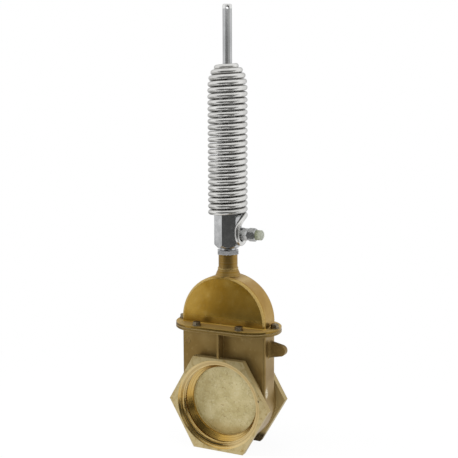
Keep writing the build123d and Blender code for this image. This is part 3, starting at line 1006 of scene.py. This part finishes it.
# %% Port threads
pipe_pitch = 3.175 * millimetre
thread_clear = 0.05 * millimetre
thread_start = thread_mouth + 5.0 * millimetre
thread_foot = 30.5 * millimetre
thread_back = 0.8 * millimetre
around_steps = 160
steps_per_pitch = 8
port_sides = {"front": -1, "rear": 1}


def wall_radius(depth):
    """Radius of the port's wall, with the bevel of its mouth."""
    return thread_radius + bevel_slope * max(0.0, depth - thread_mouth)


def port_ring(side, depth, radius_at):
    """A ring of points round a port's axis, whose radius depends on the share of the way round."""
    turn = 2 * pi / around_steps
    row = []
    for index in range(around_steps):
        radius = radius_at(index / around_steps)
        height = port_height + radius * sin(turn * index)
        row.append(Vector((radius * cos(turn * index), side * depth, height)))
    return row


def thread_rows(side):
    """Rings from the mouth inwards on one port's wall, closed by two rings behind the wall's face."""
    length = thread_start - thread_foot
    count = round(length / pipe_pitch * steps_per_pitch)
    rows = [port_ring(side, thread_start, lambda share: wall_radius(thread_start) + thread_back)]
    for step in range(count + 1):
        depth = thread_start - length * step / count
        fade = max(0.0, min(1.0, (thread_start - depth) / pipe_pitch, (depth - thread_foot) / pipe_pitch))

        def crest(share):
            phase = (depth / pipe_pitch + side * share) % 1.0
            return wall_radius(depth) - thread_clear - pipe_depth * fade * (1 - abs(2 * phase - 1))

        rows.append(port_ring(side, depth, crest))
    rows.append(port_ring(side, thread_foot, lambda share: thread_radius + thread_back))
    return rows


for port_name, side in port_sides.items():
    housing_piece(f"{port_name}_port_thread", thread_rows(side), thread_brass, loop=True)
print("port threads", len(port_sides))

# %% [markdown]
# ## A casting mark
# Where the metal was poured, a low round ring stands on the body's front, beside the web. It could be a
# bump, but its shadow side shows, so it is a small ring with a round section, half sunk in the face.

# %% Casting mark
pour_place = Vector(pour_centre) * millimetre
mark_radius = 5.6 * millimetre
mark_thickness = 0.9 * millimetre
mark_steps = 10


def mark_rings():
    """Circles round the section of the mark, each standing upright on the body's front."""
    rows = []
    for step in range(mark_steps):
        around = 2 * pi * step / mark_steps
        radius = mark_radius + mark_thickness / 2 * cos(around)
        lift = mark_thickness / 2 * sin(around)
        rows.append([pour_place + Vector((p.x, -lift, p.y)) for p in round_ring((0, 0), radius, 0)])
    return rows


housing_piece("casting_mark", mark_rings(), body_brass, loop=True)
print("casting mark at", [round(v, 4) for v in pour_place])

# %% [markdown]
# ## The floor
# The valve stands on white with hardly a shadow. A matt floor would come out grey, so this one shines white
# to the camera and in the metal, and is matt to all other light. Near the valve it keeps a faint share of
# its real shadow.

# %% Floor
white = colour(1, 1, 1)
floor_grey = colour(0.86, 0.86, 0.86)
floor_reach = 200.0
shadow_share = 0.06
shadow_near = 0.25
shadow_far = 0.9


def seen_directly(place):
    """1 for camera, mirror and see-through rays, and 0 for light that spreads."""
    path = place.make("LightPath")
    return path.largest(path.also("Is Glossy Ray")).largest(path.also("Is Transmission Ray"))


def stage_sheet(name, corners, material):
    """One flat face that belongs to the stage and not to the valve."""
    mesh = bpy.data.meshes.new(name)
    mesh.from_pydata(corners, [], [tuple(range(len(corners)))])
    mesh.materials.append(material)
    sheet = bpy.data.objects.new(name, mesh)
    bpy.context.scene.collection.objects.link(sheet)
    return sheet


def make_floor():
    """A wide floor that is white to the camera and matt for spread light."""
    material, place = new_finish("floor_white")
    x, y = axes(place, "XY")
    far = (x * x + y * y).root().rise(shadow_near, shadow_far)
    whiteness = (1 - shadow_share) + far * shadow_share
    matt = place.make("BsdfDiffuse", sockets={"Color": floor_grey})
    shining = place.make("Emission", sockets={"Color": white, "Strength": 1.0})
    mixed = place.make("MixShader", sockets={0: seen_directly(place) * whiteness, 1: matt, 2: shining})
    place.make("OutputMaterial", sockets={"Surface": mixed})
    reach = floor_reach
    corners = [(-reach, -reach, 0), (reach, -reach, 0), (reach, reach, 0), (-reach, reach, 0)]
    return stage_sheet("floor", corners, material)


make_floor()
print("floor of", 2 * floor_reach, "metres")

# %% [markdown]
# ## The white room
# Behind the floor is a white world. If it lit the valve at full strength too, the matt parts would wash out.
# So it is white to the camera and in mirrors, and a weaker lamp to everything else.

# %% World
world_light = 0.6


def make_world(light):
    """A world that is white to the camera and in mirrors, and dimmer as a lamp."""
    world = bpy.data.worlds.new("white_room")
    world.use_nodes = True
    world.node_tree.nodes.clear()
    start = Wire(world.node_tree)
    strength = light + seen_directly(start) * (1.0 - light)
    back = start.make("Background", sockets={"Color": white, "Strength": strength})
    start.make("OutputWorld", sockets={"Surface": back})
    bpy.context.scene.world = world


make_world(world_light)
print("world light", world_light)

# %% [markdown]
# ## Standing cards
# Chrome shows a dark stripe down its middle and pale sides, because the room is dim in front and bright at
# the sides. A white world alone would make the metal milky. So cards darken its reflections, as in a
# studio: one stands in front, and two taller ones far off at the right. Only mirror reflections see them.

# %% Standing cards
card_black = colour(0, 0, 0)
card_white = colour(1, 1, 0.97)
card_y = -0.65
card_top = 0.925
foot_step = (0.06, 0.14)
dark_step = (0.2, 0.3)
top_step = (0.7, 0.82)
patch_left = (-0.08, -0.22)
patch_low = (0.105, 0.14)
patch_high = (0.27, 0.22)
far_top = 2.2
far_step = (0.25, 1.1)
front_outline = [(-0.36, 0.0), (0.54, 0.0), (0.54, card_top), (-0.31, card_top),
                 (-0.31, 0.74), (-0.55, 0.7), (-0.55, 0.25), (-0.29, 0.235),
                 (-0.335, 0.17), (-0.35, 0.125), (-0.375, 0.085), (-0.39, 0.05)]
far_right = [(1.72, -2.46), (2.6, -1.5), (3.0, 0.15)]


def standing_shade(place):
    """Dim at the foot, darkest in the middle, lightest at the top, with a lighter patch low at the left."""
    x, z = axes(place, "XZ")
    level = 0.11 + z.rise(*foot_step) * 0.05 - z.rise(*dark_step) * 0.08 + z.rise(*top_step) * 0.24
    patch = x.rise(*patch_left) * z.rise(*patch_low) * z.rise(*patch_high)
    return (level + patch * 0.25).tint(card_black, card_white)


def far_shade(place):
    """Dark near the floor, and light grey from a little over a metre up."""
    [z] = axes(place, "Z")
    return (0.08 + z.rise(*far_step) * 0.6).tint(card_black, card_white)


def make_card(name, corners, shade):
    """A card that only mirror reflections see, in one colour or in a shade that depends on the place."""
    material, place = new_finish(name)
    tone = shade(place) if callable(shade) else shade
    glow = place.make("Emission", sockets={"Color": tone, "Strength": 1.0})
    place.make("OutputMaterial", sockets={"Surface": glow})
    card = stage_sheet(name, corners, material)
    card.visible_camera = False
    card.visible_shadow = False
    card.visible_diffuse = False
    card.visible_transmission = False


make_card("front_card", [(x, card_y, z) for x, z in front_outline], standing_shade)
for number, (start, end) in enumerate(zip(far_right, far_right[1:]), 1):
    corners = [(*start, 0), (*end, 0), (*end, far_top), (*start, far_top)]
    make_card(f"far_card_{number}", corners, far_shade)
print("standing cards: one in front and", number, "far off")

# %% [markdown]
# ## Lying cards
# Below its middle the mouth of the port is dark, as if it mirrored a dim floor. A darker floor would show in
# the picture, so cards that the camera doesn't see lie just above it: dark ones at the right and in front,
# and a grey one at the left.

# %% Lying cards
lying_dark = colour(0.1, 0.1, 0.095)
lying_grey = colour(0.42, 0.42, 0.41)
lying_height = 0.5 * millimetre
lying_right = [(0.125, -0.195)] + far_right + [(2.0, 0.1), (1.45, -0.38), (0.32, -0.02)]
lying_side = [(-0.55, -0.5), (-0.45, 0.7), (-2.6, 1.3), (-2.6, -0.9)]
lying_left = [(-0.05, -0.40), (-0.27, -0.58), (-0.33, -0.64), (-0.02, -0.64)]
lying_cards = [("lying_right_card", lying_right, lying_dark), ("lying_side_card", lying_side, lying_grey),
               ("lying_left_card", lying_left, lying_dark)]
for name, outline, tone in lying_cards:
    make_card(name, [(x, y, lying_height) for x, y in outline], tone)
print("lying cards", len(lying_cards))

# %% [markdown]
# ## Lamps
# The metal takes its look from the room and the cards. The lamps are there for the matt parts: the gate,
# the gasket and the hazy brass. Small lamps would leave hard shadows, so four large soft boxes are set
# round the valve, and mirrors don't see them.

# %% Soft boxes
lamps = [
    # Name, place, aim, size in metres and power in watts.
    ("top_box", (-0.3, -0.3, 2.4), (0, 0, 0.4), 1.4, 24),
    ("left_box", (-1.7, -0.9, 1.3), (0, 0, 0.3), 1.1, 20),
    ("front_box", (0.8, -1.7, 0.7), (0, 0, 0.2), 1.2, 18),
    ("right_box", (1.9, 0.3, 0.8), (0, 0, 0.3), 0.9, 12),
]


def soft_lamp(name, place, target, size, power):
    """A square soft box aimed at a point, left out of mirror reflections."""
    data = bpy.data.lights.new(name, "AREA")
    data.size = size
    data.energy = power
    lamp = bpy.data.objects.new(name, data)
    lamp.location = place
    lamp.rotation_euler = (Vector(target) - Vector(place)).to_track_quat("-Z", "Y").to_euler()
    lamp.visible_glossy = False
    bpy.context.scene.collection.objects.link(lamp)


for lamp in lamps:
    soft_lamp(*lamp)
print("lamps", len(lamps))

# %% [markdown]
# ## The camera
# The viewpoint was worked out from the corners of the hexagon ends: 0.6 metres above the port's axis, about
# 26 degrees round to the inlet side, and 1.8 metres away. The focal length follows from the 458 pixel
# frame, and the camera leans a fifth of a degree.

# %% Camera
image_size = 458
focal_pixels = 930.8
sensor_width = 36.0
optical_centre = 227.95
camera_azimuth = radians(26.447)
camera_distance = 1.8112
camera_height = port_height + 0.6064
camera_pitch = radians(8.21)
camera_lean = radians(-0.2)

camera_data = bpy.data.cameras.new("camera")
camera_data.sensor_width = sensor_width
camera_data.lens = focal_pixels / image_size * sensor_width
camera_data.shift_x = (image_size / 2 - optical_centre) / image_size
camera = bpy.data.objects.new("camera", camera_data)
camera_x = camera_distance * sin(camera_azimuth)
camera_y = -camera_distance * cos(camera_azimuth)
camera.location = (camera_x, camera_y, camera_height)
aim = Matrix.Rotation(camera_azimuth, 3, "Z") @ Matrix.Rotation(pi / 2 - camera_pitch, 3, "X")
camera.rotation_euler = (aim @ Matrix.Rotation(camera_lean, 3, "Z")).to_euler()
bpy.context.scene.collection.objects.link(camera)
bpy.context.scene.camera = camera
bpy.context.scene.view_settings.view_transform = "Standard"
print("camera at", [round(v, 3) for v in camera.location])
